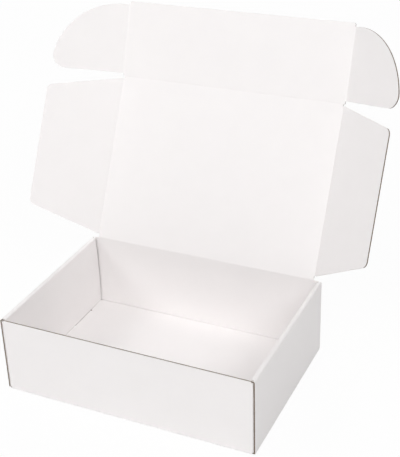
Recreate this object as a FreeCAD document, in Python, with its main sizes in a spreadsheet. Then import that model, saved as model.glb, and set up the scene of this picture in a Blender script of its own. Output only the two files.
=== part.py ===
import FreeCAD, Part
import math
import os

import Sketcher

# Corrugated mailer box, folded from one die-cut sheet.
# X runs across the box, Y from the front wall to the hinge, Z up. The origin is
# at the centre of the underside. The lid stands open, with its flaps sprung part
# of the way in, as a freshly folded box lies.

SIZES = {
    # Outside of the tray
    "outer_width": 350,
    "outer_depth": 240,
    "wall_height": 108,
    # The sheet, and the air between two layers of it
    "board": 2,
    "layer_gap": 0.25,
    # Tray: cut ends of the side walls, low front wall, folded corner flaps
    "end_setback": 0.4,
    "front_drop": 1,
    "corner_flap": 88,
    "corner_flap_taper": 6,
    # Inner side panels: space at their ends, and the two tabs that lock each
    "panel_end_gap": 1.2,
    "tab_length": 42,
    "tab_pitch": 124,
    "slot_end": 4,
    "slot_clearance": 0.6,
    # Lid
    "lid_clearance": 0.5,
    "fold_gap": 0.15,
    "floor_clearance": 1,
    # Dust flaps, on the sides of the lid
    "flap_hinge_end": 5,
    "flap_front_end": 2.3,
    "flap_hinge_taper": 29,
    "flap_front_taper": 27,
    "flap_corner": 9,
    "crease_relief": 3.1,
    # Ears, on the sides of the tuck flap
    "ear_offset": 4.6,
    "ear_radius": 97,
    "ear_straight": 7,
    "ear_corner": 17,
    # How far each piece is folded: the lid from closed, the others from flat
    "lid_open": 117,
    "tuck_fold": 7.5,
    "left_flap_fold": 30,
    "right_flap_fold": 40,
    "left_ear_fold": 28,
    "right_ear_fold": 37,
}

doc = FreeCAD.newDocument("MailerBox")
sheet = doc.addObject("Spreadsheet::Sheet", "Sizes")
for row, (alias, value) in enumerate(SIZES.items(), start=1):
    sheet.set("A%d" % row, alias)
    sheet.set("B%d" % row, str(value))
    sheet.setAlias("B%d" % row, alias)
doc.recompute()


class Length:
    """A length worked out from the sheet: its value now and its formula."""

    def __init__(self, value, text):
        self.value = value
        self.text = text

    def __add__(self, other):
        other = length(other)
        return Length(self.value + other.value, "(%s + %s)" % (self.text, other.text))

    def __sub__(self, other):
        other = length(other)
        return Length(self.value - other.value, "(%s - %s)" % (self.text, other.text))

    def __mul__(self, factor):
        return Length(self.value * factor, "(%s * %g)" % (self.text, factor))

    def __truediv__(self, factor):
        return Length(self.value / factor, "(%s / %g)" % (self.text, factor))

    def __neg__(self):
        return self * -1

    __rmul__ = __mul__


def length(value):
    """Plain numbers become lengths with a fixed formula."""
    if isinstance(value, Length):
        return value
    return Length(float(value), "%g" % value)


def size(alias):
    """A length straight from its cell."""
    return Length(float(sheet.get(alias)), "Sizes.%s" % alias)


width = size("outer_width")
depth = size("outer_depth")
height = size("wall_height")
board = size("board")
gap = size("layer_gap")
nil = length(0)

# Folds: the board turns round a small inner radius, so its outer radius is one
# board more. Two boards hinged to each other meet at an axis on their mid plane,
# the one with a round end and the other cut back from the axis.
bend = board + gap
half_board = board / 2
fold_clear = half_board + size("fold_gap")

# Across the box, from the outside in: side wall, corner flap, inner panel, then
# the ear and the dust flap when the box is shut.
half_width = width / 2
wall_inner = half_width - board
corner_outer = wall_inner - gap
corner_inner = corner_outer - board
panel_outer = corner_inner - gap
panel_inner = panel_outer - board
ear_axis = panel_inner - gap - half_board
flap_axis = ear_axis - board - gap

# Up the box
lid_axis_height = height + size("lid_clearance") + half_board
rear_top = lid_axis_height - fold_clear
front_top = height - size("front_drop")
hidden_top = height - board - gap * 2

# From the lid's hinge at the rear to the tuck flap's fold behind the front wall
lid_axis_depth = depth - half_board
lid_length = lid_axis_depth - board - gap - half_board
flap_reach = lid_axis_height - board - size("floor_clearance")
tuck_length = flap_reach
ear_reach = size("ear_straight") + size("ear_radius")
ear_top = size("ear_offset") + Length(
    math.sqrt(float(sheet.get("ear_radius")) ** 2 - float(sheet.get("ear_straight")) ** 2),
    "sqrt(Sizes.ear_radius ^ 2 - Sizes.ear_straight ^ 2)",
)


def new_body(name):
    """An empty body with its own origin planes."""
    body = doc.addObject("PartDesign::Body", name)
    body.Label = name
    doc.recompute()
    return body


def new_sketch(body, name, plane, offset=nil):
    """A sketch on one of the body's origin planes, moved along its normal."""
    sketch = body.newObject("Sketcher::SketchObject", name)
    origin_plane = [item for item in body.Origin.OriginFeatures if item.Role == plane][0]
    sketch.AttachmentSupport = [(origin_plane, "")]
    sketch.MapMode = "FlatFace"
    if offset is not nil:
        sketch.setExpression("AttachmentOffset.Base.z", offset.text)
    return sketch


def place_point(sketch, geometry, end, point):
    """Ties one end of an edge to its coordinates."""
    for kind, coordinate in (("DistanceX", point[0]), ("DistanceY", point[1])):
        index = sketch.addConstraint(
            Sketcher.Constraint(kind, -1, 1, geometry, end, coordinate.value)
        )
        sketch.setExpression("Constraints[%d]" % index, coordinate.text)


def arc_between(start, end, radius, clockwise):
    """The shorter arc of a radius from one point to another."""
    chord = end - start
    rise = math.sqrt(max(radius ** 2 - (chord.Length / 2) ** 2, 0))
    across = FreeCAD.Vector(-chord.y, chord.x, 0).normalize()
    centre = (start + end) / 2 + across * (-rise if clockwise else rise)
    circle = Part.Circle(centre, FreeCAD.Vector(0, 0, 1), radius)
    first, last = (end, start) if clockwise else (start, end)
    angles = [math.atan2(p.y - centre.y, p.x - centre.x) for p in (first, last)]
    if angles[1] <= angles[0]:
        angles[1] += 2 * math.pi
    return Part.ArcOfCircle(circle, angles[0], angles[1])


def draw_loop(sketch, points):
    """A closed outline. Each item is x, y and, where the edge that leaves the
    point is an arc, its radius: positive turns left, negative turns right."""
    edges = []
    for index, item in enumerate(points):
        following = points[(index + 1) % len(points)]
        start = FreeCAD.Vector(item[0].value, item[1].value, 0)
        end = FreeCAD.Vector(following[0].value, following[1].value, 0)
        if len(item) == 2:
            geometry = sketch.addGeometry(Part.LineSegment(start, end))
            edges.append((geometry, 1, 2))
            continue
        clockwise = item[2].value < 0
        radius = -item[2] if clockwise else item[2]
        geometry = sketch.addGeometry(arc_between(start, end, radius.value, clockwise))
        edges.append((geometry, 2, 1) if clockwise else (geometry, 1, 2))
        index = sketch.addConstraint(Sketcher.Constraint("Radius", geometry, radius.value))
        sketch.setExpression("Constraints[%d]" % index, radius.text)
    for index, item in enumerate(points):
        geometry, first, _ = edges[index]
        before, _, last = edges[index - 1]
        sketch.addConstraint(Sketcher.Constraint("Coincident", before, last, geometry, first))
        place_point(sketch, geometry, first, item)


def draw_box(sketch, low, high):
    """A rectangle between two corners."""
    draw_loop(sketch, [low, (high[0], low[1]), high, (low[0], high[1])])


def both_sides(points):
    """One loop from an outline's right half: up the right side, down the left."""
    left = []
    for index in reversed(range(len(points))):
        leaving = points[index - 1][2:] if index else ()
        left.append((-points[index][0], points[index][1]) + tuple(leaving))
    return list(points) + left


def pad(body, name, sketch, amount, middle=False, backwards=False):
    """Adds the sketch's outline as a slab."""
    feature = body.newObject("PartDesign::Pad", name)
    feature.Profile = sketch
    feature.setExpression("Length", amount.text)
    feature.Midplane = middle
    feature.Reversed = backwards
    doc.recompute()
    return feature


def pocket(body, name, sketch, amount, middle=False, backwards=False):
    """Cuts the sketch's outline away, and makes sure that it cut something."""
    before = body.Shape.Volume
    feature = body.newObject("PartDesign::Pocket", name)
    feature.Profile = sketch
    feature.setExpression("Length", amount.text)
    feature.Midplane = middle
    feature.Reversed = backwards
    doc.recompute()
    if body.Shape.Volume >= before:
        raise RuntimeError(name + " cuts nothing")
    return feature


def round_corner(body, name, base, radius, x, y):
    """Rounds the corner of a flat flap that stands at one place in plan."""
    corner = FreeCAD.Vector(x.value, y.value, 0)
    names = []
    for index, edge in enumerate(base.Shape.Edges, start=1):
        if edge.BoundBox.ZLength > edge.BoundBox.XLength + edge.BoundBox.YLength:
            middle = edge.BoundBox.Center
            if FreeCAD.Vector(middle.x, middle.y, 0).distanceToPoint(corner) < 0.01:
                names.append("Edge%d" % index)
    feature = body.newObject("PartDesign::Fillet", name)
    feature.Base = (base, names)
    feature.setExpression("Radius", radius.text)
    doc.recompute()
    return feature


# Tray: floor, four walls, side walls rolled over into inner panels, and the
# corner flaps of the front and rear walls that they trap. It is drawn with Y
# counted from the outer face of the front wall.
tray = new_body("tray")

section = new_sketch(tray, "SideSection", "XZ_Plane", -depth / 2)
draw_loop(section, both_sides([
    (corner_outer, nil, bend),
    (half_width, bend),
    (half_width, height - bend, bend),
    (corner_outer, height),
    (panel_inner + bend, height, bend),
    (panel_inner, height - bend),
    (panel_inner, bend),
    (panel_outer, bend),
    (panel_outer, height - bend, -gap),
    (panel_outer + gap, height - board),
    (corner_outer, height - board, -gap),
    (wall_inner, height - bend),
    (wall_inner, bend, -gap),
    (corner_outer, board),
]))
pad(tray, "SideWalls", section, depth - size("end_setback") * 2, middle=True)

# The floor stops at the front and rear folds.
ends = new_sketch(tray, "FloorEnds", "YZ_Plane")
draw_box(ends, (-board, -board), (bend, bend))
draw_box(ends, (depth - bend, -board), (depth + board, bend))
pocket(tray, "FloorTrim", ends, width + board * 2, middle=True)

# The rolled-over strip and the inner panels stop short of the front and rear walls.
panel_end = board + size("panel_end_gap")
strips = new_sketch(tray, "StripEnds", "XY_Plane", board + gap / 2)
for low, high in ((-board, panel_end), (depth - panel_end, depth + board)):
    draw_box(strips, (panel_inner - board, low), (corner_outer + gap / 2, high))
    draw_box(strips, (-corner_outer - gap / 2, low), (board - panel_inner, high))
pocket(tray, "StripTrim", strips, height, backwards=True)

# Two tabs at the foot of each inner panel lock into slots in the floor.
slot = size("slot_clearance")
tab_centres = [(depth - size("tab_pitch")) / 2, (depth + size("tab_pitch")) / 2]
slots = new_sketch(tray, "Slots", "XY_Plane", board)
tabs = new_sketch(tray, "Tabs", "XY_Plane")
for centre in tab_centres:
    half_tab = size("tab_length") / 2
    half_slot = half_tab + size("slot_end")
    draw_box(slots, (panel_inner - slot, centre - half_slot), (panel_outer + slot, centre + half_slot))
    draw_box(slots, (-panel_outer - slot, centre - half_slot), (slot - panel_inner, centre + half_slot))
    draw_box(tabs, (panel_inner, centre - half_tab), (panel_outer, centre + half_tab))
    draw_box(tabs, (-panel_outer, centre - half_tab), (-panel_inner, centre + half_tab))
pocket(tray, "SlotCut", slots, board)
pad(tray, "TabPads", tabs, bend + gap)

# Front and rear walls, folded up from the floor
ends_section = new_sketch(tray, "EndSection", "YZ_Plane")
draw_loop(ends_section, [
    (bend, nil),
    (depth - bend, nil, bend),
    (depth, bend),
    (depth, rear_top),
    (depth - board, rear_top),
    (depth - board, bend, -gap),
    (depth - bend, board),
    (bend, board, -gap),
    (board, bend),
    (board, front_top),
    (nil, front_top),
    (nil, bend, bend),
])
pad(tray, "EndWalls", ends_section, (corner_outer - bend) * 2, middle=True)

# Each end wall bends round the corner into a flap inside the double side wall.
turn = corner_outer - bend
folds = new_sketch(tray, "CornerTurns", "XY_Plane", bend)
draw_loop(folds, [
    (turn, nil, bend),
    (corner_outer, bend),
    (corner_inner, bend, -gap),
    (turn, board),
])
draw_loop(folds, [
    (turn, depth, -bend),
    (corner_outer, depth - bend),
    (corner_inner, depth - bend, gap),
    (turn, depth - board),
])
turns = pad(tray, "CornerFolds", folds, front_top - bend)

flaps = new_sketch(tray, "CornerFlaps", "YZ_Plane", corner_inner)
reach = size("corner_flap")
taper = size("corner_flap_taper")
low = bend + gap
draw_loop(flaps, [
    (bend, low),
    (reach, low + taper),
    (reach, hidden_top - taper),
    (bend, hidden_top),
])
draw_loop(flaps, [
    (depth - bend, low),
    (depth - bend, hidden_top),
    (depth - reach, hidden_top - taper),
    (depth - reach, low + taper),
])
corner_flaps = pad(tray, "CornerFlapPads", flaps, board)

other_side = tray.newObject("PartDesign::Mirrored", "OtherCorners")
other_side.Originals = [turns, corner_flaps]
other_side.MirrorPlane = ([item for item in tray.Origin.OriginFeatures if item.Role == "YZ_Plane"][0], [""])
tray.Tip = other_side
doc.recompute()


# The lid and its flaps are each drawn flat, inner face up, in a frame whose Y
# runs away from the hinge at the rear and whose X axis lies on the fold.

def hinged_plate(name, half_span, reach):
    """A plate with a round end on the X axis, where it is hinged."""
    body = new_body(name)
    sketch = new_sketch(body, name + "_section", "YZ_Plane")
    draw_loop(sketch, [
        (nil, -half_board),
        (reach, -half_board),
        (reach, half_board),
        (nil, half_board, half_board),
        (-half_board, nil, half_board),
    ])
    pad(body, name + "_plate", sketch, half_span * 2, middle=True)
    return body


def dust_flap(name, side):
    """A tapered flap beside the lid. Its fold is relieved on the inside, so that
    it can lie folded in past square."""
    body = new_body(name)
    near = size("flap_hinge_end")
    far = lid_length - size("flap_front_end")
    sketch = new_sketch(body, name + "_outline", "XY_Plane")
    outer = flap_reach * side
    low, high = near + size("flap_hinge_taper"), far - size("flap_front_taper")
    loop = [(fold_clear * side, near), (outer, low), (outer, high), (fold_clear * side, far)]
    draw_loop(sketch, loop)
    plate = pad(body, name + "_plate", sketch, board, middle=True)
    relief = new_sketch(body, name + "_relief", "XZ_Plane", -far - board)
    draw_loop(relief, [
        (fold_clear * side, -half_board),
        ((fold_clear + size("crease_relief")) * side, half_board),
        ((fold_clear + size("crease_relief")) * side, board),
        (nil, board),
        (nil, -half_board),
    ])
    cut = pocket(body, name + "_fold_relief", relief, far + board * 2, backwards=True)
    first = round_corner(body, name + "_rear_corner", cut, size("flap_corner"), outer, low)
    round_corner(body, name + "_front_corner", first, size("flap_corner"), outer, high)
    return body


def crease(name):
    """The rolled line of crushed board along a dust flap's fold."""
    body = new_body(name)
    near = size("flap_hinge_end")
    far = lid_length - size("flap_front_end")
    sketch = new_sketch(body, name + "_round", "XZ_Plane", -near)
    draw_loop(sketch, [
        (nil, -half_board, half_board),
        (half_board, nil, half_board),
        (nil, half_board, half_board),
        (-half_board, nil, half_board),
    ])
    pad(body, name + "_roll", sketch, far - near, backwards=True)
    return body


def ear(name, side):
    """A quarter-round ear beside the tuck flap, with a round end on its fold."""
    body = new_body(name)
    low = size("ear_offset")
    sketch = new_sketch(body, name + "_outline", "XY_Plane")
    curve = size("ear_radius") * side
    draw_loop(sketch, [
        (nil, low),
        (ear_reach * side, low, curve),
        (nil, ear_top),
    ])
    plate = pad(body, name + "_plate", sketch, board, middle=True)
    rounded = round_corner(body, name + "_corner", plate, size("ear_corner"), ear_reach * side, low)
    roll = new_sketch(body, name + "_round", "XZ_Plane", -low)
    draw_loop(roll, [
        (nil, -half_board, half_board),
        (half_board, nil, half_board),
        (nil, half_board, half_board),
        (-half_board, nil, half_board),
    ])
    pad(body, name + "_roll", roll, ear_top - low, backwards=True)
    return body


lid = hinged_plate("lid_panel", flap_axis - fold_clear, lid_length - fold_clear)
tuck = hinged_plate("tuck_flap", ear_axis - fold_clear, tuck_length)
left_flap = dust_flap("left_dust_flap", -1)
right_flap = dust_flap("right_dust_flap", 1)
left_crease = crease("left_crease")
right_crease = crease("right_crease")
left_ear = ear("left_ear", -1)
right_ear = ear("right_ear", 1)


def turned(axis, degrees):
    """A turn about an axis through the frame's origin."""
    return FreeCAD.Placement(FreeCAD.Vector(), FreeCAD.Rotation(FreeCAD.Vector(*axis), degrees))


def moved(x, y, z):
    """A shift to a point."""
    return FreeCAD.Placement(FreeCAD.Vector(x.value, y.value, z.value), FreeCAD.Rotation())


ACROSS = (1, 0, 0)
ALONG = (0, 1, 0)
HALF_TURN = 180

# The lid's own Y points forward when it is shut, so it stands a half turn from
# the tray's, less the angle that it is open.
tray.Placement = moved(nil, -depth / 2, nil)
lid_frame = (
    tray.Placement
    * moved(nil, lid_axis_depth, lid_axis_height)
    * turned(ACROSS, HALF_TURN - size("lid_open").value)
)
tuck_frame = lid_frame * moved(nil, lid_length, nil) * turned(ACROSS, size("tuck_fold").value)
lid.Placement = lid_frame
tuck.Placement = tuck_frame
for side, flap, roll, tab, hand in (
    (-1, left_flap, left_crease, left_ear, "left"),
    (1, right_flap, right_crease, right_ear, "right"),
):
    flap_turn = turned(ALONG, -side * size(hand + "_flap_fold").value)
    ear_turn = turned(ALONG, -side * size(hand + "_ear_fold").value)
    flap.Placement = lid_frame * moved(flap_axis * side, nil, nil) * flap_turn
    roll.Placement = flap.Placement
    tab.Placement = tuck_frame * moved(ear_axis * side, nil, nil) * ear_turn
doc.recompute()

failed = [item.Name for item in doc.Objects if "Invalid" in item.State or "Error" in item.State]
if failed:
    raise RuntimeError("failed: " + ", ".join(failed))

os.makedirs("parts", exist_ok=True)
for body in (tray, lid, left_crease, right_crease, left_flap, right_flap, tuck, left_ear, right_ear):
    if body.Shape.isNull() or not body.Shape.isValid():
        raise RuntimeError(body.Label + " has no valid shape")
    if len(body.Shape.Solids) != 1:
        raise RuntimeError(body.Label + " is not one solid")
    body.Shape.exportStep(os.path.join("parts", body.Label + ".step"))
    print(body.Label, round(body.Shape.Volume), "mm3")
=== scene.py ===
import math

import bpy
import numpy as np
from mathutils import Matrix, Vector


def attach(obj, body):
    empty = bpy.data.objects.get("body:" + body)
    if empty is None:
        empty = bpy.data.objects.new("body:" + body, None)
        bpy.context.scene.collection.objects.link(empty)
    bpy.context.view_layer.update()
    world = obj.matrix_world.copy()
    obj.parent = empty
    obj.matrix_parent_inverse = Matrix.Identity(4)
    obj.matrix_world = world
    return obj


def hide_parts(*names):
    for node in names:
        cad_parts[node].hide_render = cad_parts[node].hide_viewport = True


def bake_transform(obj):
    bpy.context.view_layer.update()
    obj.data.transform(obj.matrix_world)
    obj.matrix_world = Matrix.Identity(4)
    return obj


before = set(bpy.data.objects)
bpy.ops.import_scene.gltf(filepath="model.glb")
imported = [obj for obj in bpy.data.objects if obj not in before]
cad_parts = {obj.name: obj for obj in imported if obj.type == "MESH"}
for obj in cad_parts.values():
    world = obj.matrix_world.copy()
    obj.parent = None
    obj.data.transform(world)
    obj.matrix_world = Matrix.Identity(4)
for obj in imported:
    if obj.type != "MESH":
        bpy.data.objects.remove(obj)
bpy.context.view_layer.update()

# Sizes of the folded box, in millimetres. The row frame's origin is the middle of the underside,
# +X to the right, +Y to the lid's hinge.
W, D, H = 350.0, 240.0, 108.0
T = 2.0                     # board
LINER = 0.24                # each facing sheet at a cut edge
BEND = 2.25                 # outer radius of a tight fold
FOLD = 2.5                  # each side of a lid or flap fold that bends
PITCH = 3.4                 # one flute to the next
FLUTE = 0.62                # how far the flutes swing from the middle of the board
MEDIUM = 0.07               # half the thickness of the fluted sheet
SUNK = 0.7                  # how deep the core lies behind a raw edge
NEAR = 1e-6

HINGE = np.array([0.0, 119.0, 109.5])
LID = 235.75                # hinge axis to tuck axis
PANEL_HALF = 163.85         # half the width of the lid's panel at its two ends
FLAP_X, EAR_X = 165.0, 167.25   # the fold axes of the dust flaps and of the ears
LID_BACK, TUCK_FOLD = 27.0, 7.5
FLAP_FOLD = {"left": 30.0, "right": 40.0}
EAR_FOLD = {"left": 28.0, "right": 37.0}

REACH = 106.5               # how far the dust flaps and the tuck flap reach from their folds
FLAP_FOOT, FLAP_HEAD = 5.0, 232.9
FLAP_STRAIGHT, FLAP_SLANT = 1.15, 105.35    # where the slanted edges begin, and how long they are across
FLAP_FOOT_RISE, FLAP_HEAD_FALL = 29.0, 27.0
FLAP_CORNER = 9.0
TUCK_HALF, TUCK_CHAMFER = 166.1, 1.2
EAR_FOOT, EAR_RADIUS, EAR_STRAIGHT = 4.6, 97.0, 7.0
EAR_CORNER = 17.0
EAR_DROP = {"left": (0.5, 1.5), "right": (0.3, 0.45)}   # of the lower edge, near the fold and far from it

rad = math.radians
U = np.array([0.0, math.sin(rad(LID_BACK)), math.cos(rad(LID_BACK))])
N = np.array([0.0, -math.cos(rad(LID_BACK)), math.sin(rad(LID_BACK))])
TUCK = HINGE + LID * U
U2 = U * math.cos(rad(TUCK_FOLD)) + N * math.sin(rad(TUCK_FOLD))
N2 = N * math.cos(rad(TUCK_FOLD)) - U * math.sin(rad(TUCK_FOLD))
X = np.array([1.0, 0.0, 0.0])


# ---------------------------------------------------------------- materials
def tree(name):
    m = bpy.data.materials.new(name)
    m.use_nodes = True
    nt = m.node_tree
    nt.nodes.clear()
    return m, nt, nt.nodes.new, nt.links.new


def blank_uv(nt, new, link, scale):
    uv = new("ShaderNodeUVMap")
    uv.uv_map = "blank"
    mp = new("ShaderNodeMapping")
    mp.inputs["Scale"].default_value = scale
    link(uv.outputs["UV"], mp.inputs["Vector"])
    return mp.outputs["Vector"]


def liner_material(name, low, high):
    m, nt, new, link = tree(name)
    out = new("ShaderNodeOutputMaterial")
    b = new("ShaderNodeBsdfPrincipled")
    b.inputs["Roughness"].default_value = 0.62
    b.inputs["Specular IOR Level"].default_value = 0.32
    link(b.outputs["BSDF"], out.inputs["Surface"])
    # a cloudy coating
    cloud = new("ShaderNodeTexNoise")
    cloud.inputs["Scale"].default_value = 1.0
    cloud.inputs["Detail"].default_value = 4.0
    cloud.inputs["Roughness"].default_value = 0.6
    link(blank_uv(nt, new, link, (28.0, 28.0, 1.0)), cloud.inputs["Vector"])
    ramp = new("ShaderNodeValToRGB")
    ramp.color_ramp.elements[0].position = 0.3
    ramp.color_ramp.elements[0].color = low
    ramp.color_ramp.elements[1].position = 0.72
    ramp.color_ramp.elements[1].color = high
    link(cloud.outputs["Fac"], ramp.inputs["Fac"])
    link(ramp.outputs["Color"], b.inputs["Base Color"])
    # washboard from the flutes under the liner, and paper fibre
    wave = new("ShaderNodeTexWave")
    wave.wave_type = "BANDS"
    wave.bands_direction = "Y"
    wave.wave_profile = "SIN"
    wave.inputs["Scale"].default_value = 1.0
    wave.inputs["Distortion"].default_value = 0.35
    wave.inputs["Detail"].default_value = 1.0
    wave.inputs["Detail Scale"].default_value = 0.6
    # a wave texture at scale 1 has 20 radians a unit, and the map is in metres
    k = 1000.0 / PITCH * 2 * math.pi / 20.0
    link(blank_uv(nt, new, link, (k, k, 1.0)), wave.inputs["Vector"])
    fibre = new("ShaderNodeTexNoise")
    fibre.inputs["Scale"].default_value = 1.0
    fibre.inputs["Detail"].default_value = 3.0
    link(blank_uv(nt, new, link, (900.0, 2600.0, 1.0)), fibre.inputs["Vector"])
    # the board's slow warp
    warp = new("ShaderNodeTexNoise")
    warp.inputs["Scale"].default_value = 1.0
    warp.inputs["Detail"].default_value = 1.5
    link(blank_uv(nt, new, link, (9.0, 9.0, 1.0)), warp.inputs["Vector"])
    before = None
    for height, strength, distance in ((wave, 0.35, 0.00006), (fibre, 0.25, 0.00004), (warp, 0.2, 0.0025)):
        bump = new("ShaderNodeBump")
        bump.inputs["Strength"].default_value = strength
        bump.inputs["Distance"].default_value = distance
        link(height.outputs["Fac"], bump.inputs["Height"])
        if before:
            link(before.outputs["Normal"], bump.inputs["Normal"])
        before = bump
    link(before.outputs["Normal"], b.inputs["Normal"])
    return m


def raw_material(name, dark, light, rough):
    m, nt, new, link = tree(name)
    out = new("ShaderNodeOutputMaterial")
    b = new("ShaderNodeBsdfPrincipled")
    b.inputs["Roughness"].default_value = rough
    b.inputs["Specular IOR Level"].default_value = 0.15
    link(b.outputs["BSDF"], out.inputs["Surface"])
    n = new("ShaderNodeTexNoise")
    n.inputs["Scale"].default_value = 1.0
    n.inputs["Detail"].default_value = 5.0
    link(blank_uv(nt, new, link, (420.0, 420.0, 1.0)), n.inputs["Vector"])
    ramp = new("ShaderNodeValToRGB")
    ramp.color_ramp.elements[0].position = 0.32
    ramp.color_ramp.elements[0].color = dark
    ramp.color_ramp.elements[1].position = 0.7
    ramp.color_ramp.elements[1].color = light
    link(n.outputs["Fac"], ramp.inputs["Fac"])
    link(ramp.outputs["Color"], b.inputs["Base Color"])
    bump = new("ShaderNodeBump")
    bump.inputs["Strength"].default_value = 0.4
    bump.inputs["Distance"].default_value = 0.0001
    link(n.outputs["Fac"], bump.inputs["Height"])
    link(bump.outputs["Normal"], b.inputs["Normal"])
    return m


# listed in the order of the slot numbers
WHITE, BROWN, CUT, FLUTED, HIGHLIGHT_LINER = range(5)
MATERIALS = [
    liner_material("white_liner", (0.887, 0.862, 0.858, 1), (0.897, 0.872, 0.868, 1)),
    # the sunk core: brown kraft, darkened with painted shade of the flute hollows and gaps
    raw_material("brown_core_and_painted_shade", (0.17, 0.125, 0.095, 1), (0.30, 0.235, 0.185, 1), 0.9),
    raw_material("cut_liner", (0.80, 0.76, 0.73, 1), (0.90, 0.87, 0.86, 1), 0.8),
    raw_material("fluted_medium", (0.34, 0.27, 0.21, 1), (0.50, 0.42, 0.34, 1), 0.9),
    # a lighter copy of the liner: painted highlight for the stripe along the ears' folds
    liner_material("liner_painted_highlight", (0.899, 0.876, 0.872, 1), (0.909, 0.887, 0.883, 1)),
]


# ---------------------------------------------------------------- sheets of board
class Board:
    """A stretch of board: a flat region with both faces, and raw edges with a sunk core and its flutes."""

    def __init__(self, place, blank):
        self.place, self.blank = place, blank
        self.verts, self.uv, self.faces, self.mats = [], [], [], []
        self.seen = {}

    def vertex(self, p, z, key=None):
        if key is not None and key in self.seen:
            return self.seen[key]
        self.verts.append(np.asarray(self.place(p[0], p[1], z), float) / 1000.0)
        b = self.blank(p[0], p[1])
        self.uv.append((b[0] / 1000.0, b[1] / 1000.0))
        if key is not None:
            self.seen[key] = len(self.verts) - 1
        return len(self.verts) - 1

    def face(self, ids, mat):
        if len(set(ids)) > 2:
            self.faces.append(ids)
            self.mats.append(mat)

    def raw(self, a, b, ia, ib, ka, kb, pressed=False, lip_mat=CUT):
        """A cut edge from a to b in the flat region, walked with the board on its left.

        ia and ib point inward from its ends, and ka and kb name them. A pressed edge is one that the
        cutter closed."""
        a, b, ia, ib = (np.asarray(v, float) for v in (a, b, ia, ib))
        if pressed:
            self.face([self.vertex(b, T / 2, (kb, 1)), self.vertex(a, T / 2, (ka, 1)),
                       self.vertex(a, -T / 2, (ka, -1)), self.vertex(b, -T / 2, (kb, -1))], CUT)
            return
        lip = T / 2 - LINER
        low = lip - 0.03
        rows = [(0, T / 2), (0, lip), (SUNK, low), (SUNK, -low), (0, -lip), (0, -T / 2)]
        ids = []
        for r, (d, z) in enumerate(rows):
            top, bottom = r == 0, r == len(rows) - 1
            s = 1 if top else -1 if bottom else None
            ids.append(
                (
                    self.vertex(a + ia * d, z, (ka, s) if s else (ka, "raw", r)),
                    self.vertex(b + ib * d, z, (kb, s) if s else (kb, "raw", r)),
                )
            )
        # the sunk core's faces are brown kraft darkened with painted shade
        for r, mat in enumerate((lip_mat, BROWN, BROWN, BROWN, CUT)):
            (a0, b0), (a1, b1) = ids[r], ids[r + 1]
            self.face([b0, a0, a1, b1], mat)
        # the fluted sheet, in steps of at most 0.5 mm across the flutes
        fa, fb = self.blank(*a)[1], self.blank(*b)[1]
        n = max(1, math.ceil(abs(fb - fa) / 0.5))
        before = None
        for i in range(n + 1):
            f = i / n
            p, q = a + (b - a) * f, ia + (ib - ia) * f
            h = FLUTE * math.sin(2 * math.pi * self.blank(*p)[1] / PITCH)
            row = [self.vertex(p + q * 0.2, h + e) for e in (MEDIUM, -MEDIUM)]
            row += [self.vertex(p + q * SUNK, h - e) for e in (-MEDIUM, MEDIUM)]
            if before:
                for j in range(3):
                    self.face([before[j], before[j + 1], row[j + 1], row[j]], FLUTED)
            before = row

    def made(self, name, angle=40.0):
        me = bpy.data.meshes.new(name)
        me.from_pydata([tuple(v) for v in self.verts], [], self.faces)
        for m in MATERIALS:
            me.materials.append(m)
        me.polygons.foreach_set("material_index", self.mats)
        me.polygons.foreach_set("use_smooth", [True] * len(self.faces))
        layer = me.uv_layers.new(name="blank")
        loop = np.empty(len(me.loops), np.int32)
        me.loops.foreach_get("vertex_index", loop)
        layer.data.foreach_set("uv", np.asarray(self.uv, np.float32)[loop].ravel())
        me.validate()
        me.set_sharp_from_angle(angle=rad(angle))
        ob = bpy.data.objects.new(name, me)
        bpy.context.scene.collection.objects.link(ob)
        return ob


def cells(name, ps, qs, on, place, blank, joined=None, pressed=None, painted_shade=None):
    """A sheet of rectangular cells between the lines ps and qs.

    on(p, q) says which cells are board. Of the borders' middles, joined says which go on into another
    sheet, pressed which the cutter closed and painted_shade which have a brown upper lip: painted shade of a
    gap."""
    s = Board(place, blank)
    n_p, n_q = len(ps) - 1, len(qs) - 1
    live = [
        [on((ps[i] + ps[i + 1]) / 2, (qs[j] + qs[j + 1]) / 2) for j in range(n_q)]
        for i in range(n_p)
    ]

    def alive(i, j):
        return 0 <= i < n_p and 0 <= j < n_q and live[i][j]

    border, inward = [], {}
    for i in range(n_p):
        for j in range(n_q):
            if not live[i][j]:
                continue
            c = [(i, j), (i + 1, j), (i + 1, j + 1), (i, j + 1)]
            top = [s.vertex((ps[a], qs[b]), T / 2, ((a, b), 1)) for a, b in c]
            bot = [s.vertex((ps[a], qs[b]), -T / 2, ((a, b), -1)) for a, b in c]
            s.face(top, WHITE)
            s.face(bot[::-1], WHITE)
            for k, (di, dj) in enumerate(((0, -1), (1, 0), (0, 1), (-1, 0))):
                if alive(i + di, j + dj):
                    continue
                a, b = c[k], c[(k + 1) % 4]
                middle = ((ps[a[0]] + ps[b[0]]) / 2, (qs[a[1]] + qs[b[1]]) / 2)
                if joined and joined(*middle):
                    continue
                shut = bool(pressed and pressed(*middle))
                # a brown upper lip is painted shade, standing for the shade in a narrow gap
                border.append((a, b, shut, BROWN if painted_shade and painted_shade(*middle) else CUT))
                for v in (a, b):
                    inward.setdefault(v, set()).add((-di, -dj))
    for a, b, shut, lip in border:
        ia, ib = (np.sum([np.array(v, float) for v in inward[k]], axis=0) for k in (a, b))
        s.raw((ps[a[0]], qs[a[1]]), (ps[b[0]], qs[b[1]]), ia, ib, a, b, shut, lip)
    return s.made(name)


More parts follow.
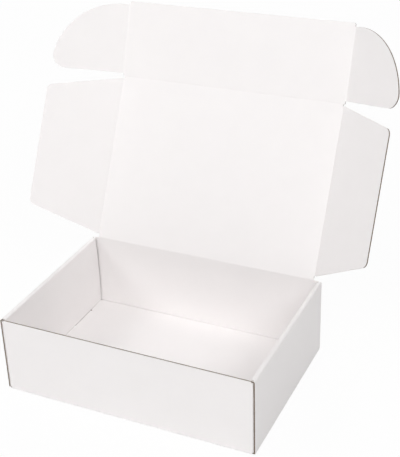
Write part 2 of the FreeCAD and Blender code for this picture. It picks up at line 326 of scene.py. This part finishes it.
def plate(name, outline, place, blank, joined=(), shut=()):
    """A flat sheet inside an outline of points walked anticlockwise.

    joined lists the edges, by their first point, that go on into a fold, and shut those that the
    cutter closed."""
    s = Board(place, blank)
    pts = [np.array(p, float) for p in outline]
    n = len(pts)
    edge = [(pts[(i + 1) % n] - pts[i]) for i in range(n)]
    edge = [e / np.linalg.norm(e) for e in edge]
    left = [np.array((-e[1], e[0])) for e in edge]
    inset = []
    for i in range(n):
        h = (i - 1) % n
        if i in joined and h not in joined:
            inset.append(edge[i] / max(0.2, edge[i] @ left[h]))
        elif h in joined and i not in joined:
            inset.append(-edge[h] / max(0.2, -edge[h] @ left[i]))
        else:
            inset.append((left[h] + left[i]) / (1 + left[h] @ left[i]))
    top = [s.vertex(p, T / 2, (i, 1)) for i, p in enumerate(pts)]
    bot = [s.vertex(p, -T / 2, (i, -1)) for i, p in enumerate(pts)]
    s.face(top, WHITE)
    s.face(bot[::-1], WHITE)
    for i in range(n):
        if i not in joined:
            j = (i + 1) % n
            s.raw(pts[i], pts[j], inset[i], inset[j], i, j, i in shut)
    return s.made(name)


FOLD_ANGLE = 50.0           # edges of a fold sharper than this aren't smoothed
GROOVE, GROOVE_HALF = 0.12, 1.1     # how far the scorer pressed the inner face in, and half how wide
HIGHLIGHT_HALF = 2.2             # half the width of a fold's stripe of painted highlight


def fold(name, ends, place, blank, spans=(-FOLD, FOLD), steps=12, highlight=WHITE, shut=False):
    """The board along a fold, from spans[0] to spans[1] across it.

    ends(s) gives its two ends along the fold, place(s, l, z) bends it, and highlight is the material of
    its stripe: a lighter liner there is a painted highlight."""
    def grooved(a, l, z):
        return place(a, l, z * (1 - GROOVE * math.exp(-((a / GROOVE_HALF) ** 2))) if z > 0 else z)

    lo, hi = spans
    ss = [lo + (hi - lo) * i / steps for i in range(steps + 1)]
    s = Board(grooved, blank)
    for i in range(steps):
        a, b = ss[i], ss[i + 1]
        (a0, a1), (b0, b1) = ends(a), ends(b)
        for z, sg in ((T / 2, 1), (-T / 2, -1)):
            q = [
                s.vertex((a, a0), z, ((i, 0), sg)),
                s.vertex((b, b0), z, ((i + 1, 0), sg)),
                s.vertex((b, b1), z, ((i + 1, 1), sg)),
                s.vertex((a, a1), z, ((i, 1), sg)),
            ]
            # the middle stripe takes the highlight material, a painted highlight along the fold
            s.face(q[::sg], highlight if abs(a + b) / 2 < HIGHLIGHT_HALF else WHITE)
        d = 1.0 if a1 > a0 else -1.0
        s.raw((a, a0), (b, b0), (0, d), (0, d), (i, 0), (i + 1, 0), shut)
        s.raw((b, b1), (a, a1), (0, -d), (0, -d), (i + 1, 1), (i, 1), shut)
    return s.made(name, FOLD_ANGLE)


def fold_bead(name, ends, place, blank, radius=0.82, sides=16, inset=0.3):
    """A round bead inside the board, along a fold's axis.

    It closes the gap that opens as the fold's two halves turn."""
    s = Board(place, blank)
    l0, l1 = ends(0.0)
    d = inset if l1 > l0 else -inset
    rings = []
    for i in range(sides):
        t = 2 * math.pi * i / sides
        a, z = radius * math.cos(t), radius * math.sin(t)
        rings.append([s.vertex((a, l), z, (i, k)) for k, l in enumerate((l0 + d, l1 - d))])
    for a, b in zip(rings, rings[1:] + rings[:1]):
        s.face([a[0], a[1], b[1], b[0]], WHITE)
    s.face([r[0] for r in rings], WHITE)
    s.face([r[1] for r in rings[::-1]], WHITE)
    return s.made(name, FOLD_ANGLE)


def smooth(t):
    t = min(1.0, max(0.0, t))
    return t * t * (3 - 2 * t)


def ahead(h):
    return np.array((math.cos(rad(h)), math.sin(rad(h))))


def leftward(h):
    return np.array((-math.sin(rad(h)), math.cos(rad(h))))


def arc(cx, cy, r, a0, a1, n):
    """n + 1 points round a centre, from the angle a0 to a1 in degrees."""
    return [tuple(np.array((cx, cy)) + r * ahead(a0 + (a1 - a0) * i / n)) for i in range(n + 1)]


class Path:
    """A mid line in a plane: at(q, z) is the point q along it and z to its left.

    Each part is ("run", length, 0) or ("turn", degrees to the left, radius)."""

    def __init__(self, start, heading, parts):
        self.parts, self.stops = [], [0.0]
        p, h = np.array(start, float), heading
        for kind, v, r in parts:
            size = v if kind == "run" else abs(rad(v)) * r
            self.parts.append((kind, p.copy(), h, v, r))
            if kind == "run":
                p = p + v * ahead(h)
            else:
                p, h = self.turned(p, h, v, r)
            self.stops.append(self.stops[-1] + size)

    @staticmethod
    def turned(p, h, v, r):
        """Where a turn of v degrees from p, heading h, ends, and its new heading."""
        sg = 1 if v > 0 else -1
        centre = p + sg * r * leftward(h)
        return centre - sg * r * leftward(h + v), h + v

    def at(self, q, z):
        i = 0
        while i < len(self.parts) - 1 and q > self.stops[i + 1] - 1e-9:
            i += 1
        kind, p, h, v, r = self.parts[i]
        d = q - self.stops[i]
        if kind == "turn":
            if d:
                p, h = self.turned(p, h, math.copysign(math.degrees(d / r), v), r)
            d = 0.0
        return p + d * ahead(h) + z * leftward(h)

    def lines(self, extra=()):
        """Where a sheet along it is divided: at the parts' ends, five times in each turn, and at extra."""
        out = set(self.stops)
        for i, part in enumerate(self.parts):
            if part[0] == "turn":
                for k in range(1, 6):
                    out.add(self.stops[i] + (self.stops[i + 1] - self.stops[i]) * k / 6)
        out.update(extra)
        return sorted(out)


# ---------------------------------------------------------------- the tray
R = BEND - T / 2            # mid radius of the tight folds
TURN = ("turn", 90.0, R)
PANEL_MID = 5.5             # from a side wall's outer face to the middle of its inner panel
TAB_END = 0.4               # the lock tabs' lower ends above the ground
TAB_TOP = 1.9               # where the tabs begin, from those ends: the inner panels' lower edge
STRIP = 2.0                 # the flat part of the strip on top of a side wall
SCORE, SCORE_HALF = 0.8, 0.6    # the pressed line at the foot of the front and rear walls
BOW = 1.2                   # how far the inner side panels swell at half height
DRAWN_IN = 1.1              # how far the rear edge of the inner panels is drawn in at the top
TABS, TAB_HALF = (-62.0, 62.0), 21.0
SLOT, SLOT_HALF = (167.9, 171.1), 25.0          # a floor slot across and half its length
SLOT_END, SLOT_END_HALF = (166.5, 168.0), 22.8  # the wider cuts at its ends
FOOT_HALF = 170.5           # half the length of the front and rear foot folds
PANEL_GAP, WALL_GAP = 3.2, 0.4      # from the front or rear face to the end of a panel and a wall
CORNER_FOOT, CORNER_TOP, CORNER_REACH = 3.2, 105.5, 88.0    # the corner flaps' edges, and their length

# the roll, from the tabs of the left inner panel round the left wall, across the floor and up again
half_roll = [("run", H - BEND - TAB_END, 0), TURN, ("run", STRIP, 0), TURN, ("run", H - 2 * BEND, 0), TURN]
roll = Path((-W / 2 + PANEL_MID, TAB_END), 90.0, half_roll + [("run", W - 2 * BEND, 0)] + half_roll[::-1])
total = roll.stops[-1]
panel_end, strip_end, wall_end = roll.stops[1], roll.stops[3], roll.stops[5]
floor0, floor1 = roll.stops[6], roll.stops[7]
mid = (floor0 + floor1) / 2
ends_floor = D / 2 - BEND


def in_tab(y, half):
    return any(abs(y - c) < half for c in TABS)


def roll_on(q, y):
    e = min(q, total - q)
    if e < TAB_TOP:
        return in_tab(y, TAB_HALF)
    if e < strip_end - NEAR:
        return abs(y) < D / 2 - PANEL_GAP
    if e < wall_end:
        return abs(y) < D / 2 - WALL_GAP
    if floor0 <= q <= floor1 and in_tab(y, SLOT_HALF):
        x = abs(q - mid)
        if SLOT[0] < x < SLOT[1] or (SLOT_END[0] < x < SLOT_END[1] and not in_tab(y, SLOT_END_HALF)):
            return False
    return abs(y) < ends_floor


def roll_joined(q, y):
    # the floor goes on into the front and rear walls between the corners
    return floor0 < q < floor1 and abs(abs(y) - ends_floor) < NEAR and abs(q - mid) < FOOT_HALF


q_extra = [mid + s * x for s in (-1, 1) for x in (SLOT_END[0], SLOT[0], FOOT_HALF, SLOT[1])]
for e in [TAB_TOP] + [panel_end * k / 8 for k in range(1, 8)]:
    q_extra += [e, total - e]
q_lines = roll.lines(q_extra)
y_half = [D / 2 - WALL_GAP, ends_floor, ends_floor - SCORE_HALF, D / 2 - PANEL_GAP]
y_half += [TABS[1] + s * half for s in (-1, 1) for half in (TAB_HALF, SLOT_END_HALF, SLOT_HALF)]
y_lines = sorted(s * v for s in (-1, 1) for v in y_half)


def roll_place(q, y, z):
    if z > T / 2 - NEAR and abs(y) > ends_floor - NEAR and floor0 < q < floor1:
        z -= SCORE
    x, h = roll.at(q, z)
    e = min(q, total - q)
    if e < panel_end:
        x -= math.copysign(BOW * math.sin(math.pi * min(1.0, h / (H - BEND))), x)
    # the rear edge is drawn in towards the top, over the last 26 mm of the panel's length
    y -= DRAWN_IN * min(1.0, e / panel_end, max(0.0, (strip_end - e) / 2.0)) * smooth((y - 90.0) / 26.0)
    return (x, y, h)


END = 100.0                 # beyond this y only the ends of the roll are left


def roll_pressed(q, y):
    # the ends of the rolled-over top strips
    return panel_end - NEAR < min(q, total - q) < strip_end and abs(y) > END


def roll_painted_shade(q, y):
    # the outer walls' end edges stand against the corner folds; their brown upper lip is painted shade of the
    # gap there
    return strip_end < min(q, total - q) < floor0 and abs(y) > END


roll_sheet = cells(
    "floor_and_rolled_sides", q_lines, y_lines, roll_on, roll_place,
    lambda q, y: (q - mid, y), roll_joined, roll_pressed, roll_painted_shade,
)


def wall(name, way, top, shoulder=None):
    """The front wall, way -1, or the rear one, way 1, with its corner flaps.

    top is its height, and beyond shoulder on either side it is 1 mm higher."""
    flap = CORNER_REACH - BEND
    line = Path(
        (-FOOT_HALF - R, -D / 2 + BEND + flap), -90.0,
        [("run", flap, 0), TURN, ("run", 2 * FOOT_HALF, 0), TURN, ("run", flap, 0)],
    )
    tot = line.stops[-1]

    def place(q, g, z):
        if z > T / 2 - NEAR and g > -BEND - NEAR and line.stops[2] < q < line.stops[3]:
            z -= SCORE
        x, y = line.at(q, z)
        return (x, y, -g) if way < 0 else (-x, -y, -g)

    def on(q, g):
        h = -g
        if line.stops[2] < q < line.stops[3]:
            return h < top or (shoulder is not None and abs(q - tot / 2) > shoulder and h < top + 1.0)
        return CORNER_FOOT < h < CORNER_TOP

    heights = {BEND, BEND + SCORE_HALF, CORNER_FOOT, CORNER_TOP, top}
    if shoulder:
        heights.add(top + 1.0)
    hs = sorted(-h for h in heights)
    qs = line.lines([tot / 2 - shoulder, tot / 2 + shoulder] if shoulder else [])

    def joined(q, g):
        h = -g
        if abs(h - BEND) < NEAR:
            return True
        return shoulder is not None and abs(h - top) < NEAR and abs(q - tot / 2) < shoulder

    def pressed(q, g):
        return shoulder is not None and -g > top - 2.0

    def blank(q, g):
        return -way * (q - tot / 2), way * (D / 2 - g)

    return cells(name, qs, hs, on, place, blank, joined, pressed)


def foot(name, way):
    """The bend from the floor into the front wall, way -1, or the rear one, way 1."""
    turn = Path((-ends_floor, T / 2), 180.0, [("turn", -90.0, R)])
    steps = 6
    qs = [-turn.stops[-1] * i / steps for i in range(steps, -1, -1)]

    def place(x, q, z):
        y, h = turn.at(-q, SCORE - z if z > T / 2 - NEAR else -z)
        return (x, y, h) if way < 0 else (-x, -y, h)

    return cells(
        name, [-FOOT_HALF, FOOT_HALF], qs, lambda x, q: True, place, lambda x, q: (x, way * (D / 2 - q)),
        joined=lambda x, q: abs(abs(x) - FOOT_HALF) > NEAR, pressed=lambda x, q: True,
    )


tray_pieces = [
    roll_sheet,
    wall("front_wall", -1, H - 1.0),
    wall("rear_wall", 1, HINGE[2] - FOLD, PANEL_HALF),
    foot("front_foot_fold", -1),
    foot("rear_foot_fold", 1),
]
for p in tray_pieces:
    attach(p, "tray")
    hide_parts("tray")


# ---------------------------------------------------------------- lid, tuck flap, dust flaps and ears
def bent(s, z, angle):
    """A point s across a fold and z from the board's middle, when the fold is bent by angle."""
    a = rad(angle) * smooth((s + FOLD) / (2 * FOLD))
    return s * math.cos(a) - z * math.sin(a), s * math.sin(a) + z * math.cos(a)


def lid_at(x, u, z):
    return HINGE + x * X + u * U + z * N


def tuck_at(x, u, z):
    return TUCK + x * X + u * U2 + z * N2


B0 = D / 2 + H + 1.5        # the lid's hinge line in the flat blank
B1 = B0 + LID               # the tuck flap's fold line


def flap_low(v):
    return FLAP_FOOT + max(0.0, v - FLAP_STRAIGHT) * FLAP_FOOT_RISE / FLAP_SLANT


def flap_high(v):
    return FLAP_HEAD - max(0.0, v - FLAP_STRAIGHT) * FLAP_HEAD_FALL / FLAP_SLANT


def ear_high(v):
    return EAR_FOOT + math.sqrt(EAR_RADIUS**2 - (max(0.0, v) - EAR_STRAIGHT) ** 2)


def ear_low(name, v, u=EAR_FOOT):
    """The ear's lower edge falls away from its fold, and the outline up to 40 mm above follows it."""
    near, far = EAR_DROP[name]
    drop = near + (far - near) * smooth(v / 85.0)
    return u - drop * max(0.0, 1 - (u - EAR_FOOT) / 40.0)


inner = FLAP_X - FOLD       # half the panel's width between the dust flaps' folds
top = 233.25                # where the dust flaps' folds end on the panel
lid_outline = [(-PANEL_HALF, FOLD), (PANEL_HALF, FOLD), (PANEL_HALF, FLAP_FOOT), (inner, FLAP_FOOT),
               (inner, top), (-inner, top), (-inner, FLAP_FOOT), (-PANEL_HALF, FLAP_FOOT)]
lid = plate("lid_panel_sheet", lid_outline, lid_at, lambda x, u: (x, B0 + u), joined=(0, 3, 4, 5))
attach(lid, "lid")
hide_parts("lid_panel")


def hinge_at(s, x, z):
    p, q = bent(s, z, -LID_BACK)
    return HINGE + np.array([0, -q, p]) + np.array([x, 0, 0])


def hinge_ends(s):
    return PANEL_HALF, -PANEL_HALF


hinge = fold("lid_hinge_fold", hinge_ends, hinge_at, lambda s, x: (x, B0 + s), shut=True)
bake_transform(hinge)
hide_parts("lid_panel")


def tuck_fold_ends(s):
    half = PANEL_HALF + (TUCK_HALF - PANEL_HALF) * smooth((s + 0.6) / 1.6)
    return half, -half


def tuck_fold_at(s, x, z):
    p, q = bent(s, z, TUCK_FOLD)
    return TUCK + p * U + q * N + x * X


tuck_fold = fold("tuck_fold", tuck_fold_ends, tuck_fold_at, lambda s, x: (x, B1 + s))
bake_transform(tuck_fold)
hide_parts("tuck_flap")


def tuck_side(name):
    """Half of the tuck flap's outline, drawn as the right one, on the side of the ear called name."""
    e, c = TUCK_HALF, EAR_X - FOLD
    low, high = ear_low(name, 0.0), ear_high(0.0)
    far = [(e, REACH - TUCK_CHAMFER), (e - TUCK_CHAMFER, REACH)]
    return [(e, FOLD), (e, low), (c, low), (c, high), (e, high)] + far


left_half = [(-x, u) for x, u in tuck_side("left")]
tuck_outline = left_half[:1] + tuck_side("right") + left_half[:0:-1]
tuck = plate("tuck_flap_sheet", tuck_outline, tuck_at, lambda x, u: (x, B1 + u), joined=(0, 3, 11))
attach(tuck, "tuck_flap")
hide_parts("tuck_flap")


def corner(p, q, r, radius, n=10):
    """The rounded corner at q between p and r."""
    p, q, r = (np.array(v, float) for v in (p, q, r))
    a, b = (p - q) / np.linalg.norm(p - q), (r - q) / np.linalg.norm(r - q)
    half = math.acos(max(-1, min(1, a @ b))) / 2
    d = radius / math.tan(half)
    centre = q + (a + b) / np.linalg.norm(a + b) * radius / math.sin(half)
    t0, t1 = q + a * d - centre, q + b * d - centre
    a0, a1 = (math.degrees(math.atan2(v[1], v[0])) for v in (t0, t1))
    a1 = a0 + (a1 - a0 + 180) % 360 - 180       # the short way round
    return arc(*centre, radius, a0, a1, n)


def dust_shape():
    lo, hi = (FOLD, flap_low(FOLD)), (FOLD, flap_high(FOLD))
    far_lo, far_hi = (REACH, flap_low(REACH)), (REACH, flap_high(REACH))
    return [lo] + corner(lo, far_lo, far_hi, FLAP_CORNER) + corner(far_lo, far_hi, hi, FLAP_CORNER) + [hi]


def ear_shape():
    """A straight lower edge, a small round corner, and a large arc that it touches."""
    apart = EAR_RADIUS - EAR_CORNER     # the two arcs' centres
    touch = math.degrees(math.asin(EAR_CORNER / apart))
    across = EAR_STRAIGHT + math.sqrt(apart**2 - EAR_CORNER**2)
    small = arc(across, EAR_FOOT + EAR_CORNER, EAR_CORNER, -90, touch, 10)
    end = math.degrees(math.atan2(ear_high(FOLD) - EAR_FOOT, FOLD - EAR_STRAIGHT))
    large = arc(EAR_STRAIGHT, EAR_FOOT, EAR_RADIUS, touch, end, 48)
    return [(FOLD, EAR_FOOT)] + small + large[1:]


def flap(name, sg, axis, along, normal, angle, outline, low, high, line, shut=()):
    """A flap on the side sg of the lid or the tuck flap: its outward direction and what its fold is made from.

    axis is its fold's start, along runs up the fold, normal is the carrying sheet's, and line is its
    place in the blank. The left side is walked the other way round, to keep its faces outward."""
    f = rad(angle)
    out = sg * math.cos(f) * X + math.sin(f) * normal
    up = -sg * math.sin(f) * X + math.cos(f) * normal

    def place(v, u, z):
        return axis + sg * v * out + u * along + z * up

    def bend(s, u, z):
        p, q = bent(s, z, angle)
        return axis + sg * p * X + q * normal + u * along

    def ends(s):
        return (low(s), high(s)) if sg > 0 else (high(s), low(s))

    start = abs(axis[0])
    points = outline if sg > 0 else [(-v, u) for v, u in outline[::-1]]
    sheet = plate(
        name + "_sheet", points, place, lambda v, u: (sg * start + v, line + u), (len(points) - 1,), shut,
    )
    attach(sheet, name)
    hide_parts(name)
    return out, (ends, bend, lambda s, u: (sg * (start + s), line + u))


LOWER, UPPER = (-FOLD, 0.0), (0.0, FOLD)    # the halves of a fold, before and beyond its axis
for name, sg in (("left", -1), ("right", 1)):
    outline = dust_shape()
    axis = HINGE + sg * FLAP_X * X
    out, made_from = flap(
        name + "_dust_flap", sg, axis, U, N, FLAP_FOLD[name], outline,
        flap_low, flap_high, B0, shut=(0, len(outline) - 2),
    )
    one = fold(name + "_dust_flap_fold_lid_side", *made_from, LOWER, steps=7)
    two = fold(name + "_dust_flap_fold_flap_side", *made_from, UPPER, steps=7)
    bead = fold_bead(name + "_dust_flap_fold_core", *made_from)
    for piece in (one, two, bead):
        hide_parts(name + "_crease")
    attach(one, "lid")
    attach(bead, "lid")
    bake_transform(two)

    def low(s, name=name):
        return ear_low(name, max(0.0, s))

    outline = [(v, ear_low(name, v, u)) for v, u in ear_shape()]
    axis = TUCK + sg * EAR_X * X
    _, made_from = flap(name + "_ear", sg, axis, U2, N2, EAR_FOLD[name], outline, low, ear_high, B1)
    # the ears' folds carry a stripe of painted highlight
    one = fold(name + "_ear_fold_tuck_side", *made_from, LOWER, steps=6, highlight=HIGHLIGHT_LINER)
    two = fold(name + "_ear_fold_ear_side", *made_from, UPPER, steps=6, highlight=HIGHLIGHT_LINER)
    bead = fold_bead(name + "_ear_fold_core", *made_from)
    for piece, body in ((one, "tuck_flap"), (two, name + "_ear"), (bead, "tuck_flap")):
        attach(piece, body)
        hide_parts(name + "_ear")

# ---------------------------------------------------------------- floor, light and camera
AMBIENT = 0.24
FLOOR_HALF = 6.0
FLOOR_GLOW = 0.95           # how much of the floor that is seen is plain white; the rest keeps the shadow
LAMPS = [                   # name, place, watts
    ("front_softbox", (0.2, -3.6, 3.6), 61.0),
    ("right_softbox", (3.0, -2.4, 3.6), 80.0),
    ("left_softbox", (-3.0, -2.4, 3.6), 77.0),
    ("side_softbox", (3.4, 0.7, 3.3), 20.0),
    ("back_softbox", (-1.7, 3.6, 2.6), 55.0),
]
LAMP_SIZE = 2.4
LAMP_TARGET = Vector((0.0, 0.0, 0.15))


def ray_is_seen(new, link):
    """1 for rays from the camera, a reflection or a clear material, and 0 for those that light things."""
    light = new("ShaderNodeLightPath")
    result = light.outputs["Is Camera Ray"]
    for kind in ("Is Glossy Ray", "Is Transmission Ray"):
        either = new("ShaderNodeMath")
        either.operation = "MAXIMUM"
        link(result, either.inputs[0])
        link(light.outputs[kind], either.inputs[1])
        result = either.outputs[0]
    return result


def white_where_seen(new, link, output, lit, socket, white_type, share=1.0):
    """Sends to output the shader socket lit, mixed with pure white by share where the ray is seen."""
    seen = ray_is_seen(new, link)
    if share < 1.0:
        part = new("ShaderNodeMath")
        part.operation = "MULTIPLY"
        part.inputs[1].default_value = share
        link(seen, part.inputs[0])
        seen = part.outputs[0]
    white = new(white_type)
    white.inputs["Color"].default_value = (1, 1, 1, 1)
    white.inputs["Strength"].default_value = 1.0
    mix = new("ShaderNodeMixShader")
    link(seen, mix.inputs["Fac"])
    link(lit.outputs[socket], mix.inputs[1])
    link(white.outputs[0], mix.inputs[2])
    link(mix.outputs["Shader"], new(output).inputs["Surface"])


s = FLOOR_HALF
floor_mesh = bpy.data.meshes.new("studio_floor")
floor_mesh.from_pydata([(-s, -s, 0), (s, -s, 0), (s, s, 0), (-s, s, 0)], [], [(0, 1, 2, 3)])
floor = bpy.data.objects.new("studio_floor", floor_mesh)
bpy.context.scene.collection.objects.link(floor)
studio_white, _, new, link = tree("studio_white")
diffuse = new("ShaderNodeBsdfDiffuse")
diffuse.inputs["Color"].default_value = (0.86, 0.86, 0.86, 1)
white_where_seen(new, link, "ShaderNodeOutputMaterial", diffuse, "BSDF", "ShaderNodeEmission", FLOOR_GLOW)
floor_mesh.materials.append(studio_white)

world = bpy.data.worlds.new("studio")
bpy.context.scene.world = world
world.use_nodes = True
world.node_tree.nodes.clear()
new, link = world.node_tree.nodes.new, world.node_tree.links.new
dim = new("ShaderNodeBackground")
dim.inputs["Color"].default_value = (1, 1, 1, 1)
dim.inputs["Strength"].default_value = AMBIENT
white_where_seen(new, link, "ShaderNodeOutputWorld", dim, "Background", "ShaderNodeBackground")

for name, place, watts in LAMPS:
    lamp = bpy.data.lights.new(name, "AREA")
    lamp.shape = "DISK"
    lamp.size = LAMP_SIZE
    lamp.energy = watts
    ob = bpy.data.objects.new(name, lamp)
    bpy.context.scene.collection.objects.link(ob)
    ob.location = place
    ob.rotation_mode = "QUATERNION"
    ob.rotation_quaternion = (LAMP_TARGET - Vector(place)).to_track_quat("-Z", "Y")

# the camera fitted to the photo, with its focal length and centre in pixels
PHOTO_WIDTH, PHOTO_HEIGHT = 400.0, 457.0
FOCAL = 1031.13
CENTRE = (187.65, 221.07)
cam_data = bpy.data.cameras.new("camera")
cam = bpy.data.objects.new("camera", cam_data)
bpy.context.scene.collection.objects.link(cam)
az, el, roll_angle = rad(26.09), rad(27.51), rad(-2.21)
back = Vector((math.sin(az) * math.cos(el), -math.cos(az) * math.cos(el), math.sin(el)))
right = (-back).cross(Vector((0, 0, 1))).normalized()
up = right.cross(-back)
rolled_right = right * math.cos(roll_angle) + up * math.sin(roll_angle)
rolled_up = -right * math.sin(roll_angle) + up * math.cos(roll_angle)
stand = Matrix((rolled_right, rolled_up, back)).transposed().to_4x4()
stand.translation = Vector((0.5347, -1.0131, 0.8193))
cam.matrix_world = stand
cam_data.sensor_width = 36.0
cam_data.lens = FOCAL * cam_data.sensor_width / PHOTO_HEIGHT
cam_data.shift_x = (PHOTO_WIDTH / 2 - CENTRE[0]) / PHOTO_HEIGHT
cam_data.shift_y = (CENTRE[1] - PHOTO_HEIGHT / 2) / PHOTO_HEIGHT
cam_data.clip_start, cam_data.clip_end = 0.05, 50.0
bpy.context.scene.camera = cam
bpy.context.scene.view_settings.view_transform = "Standard"
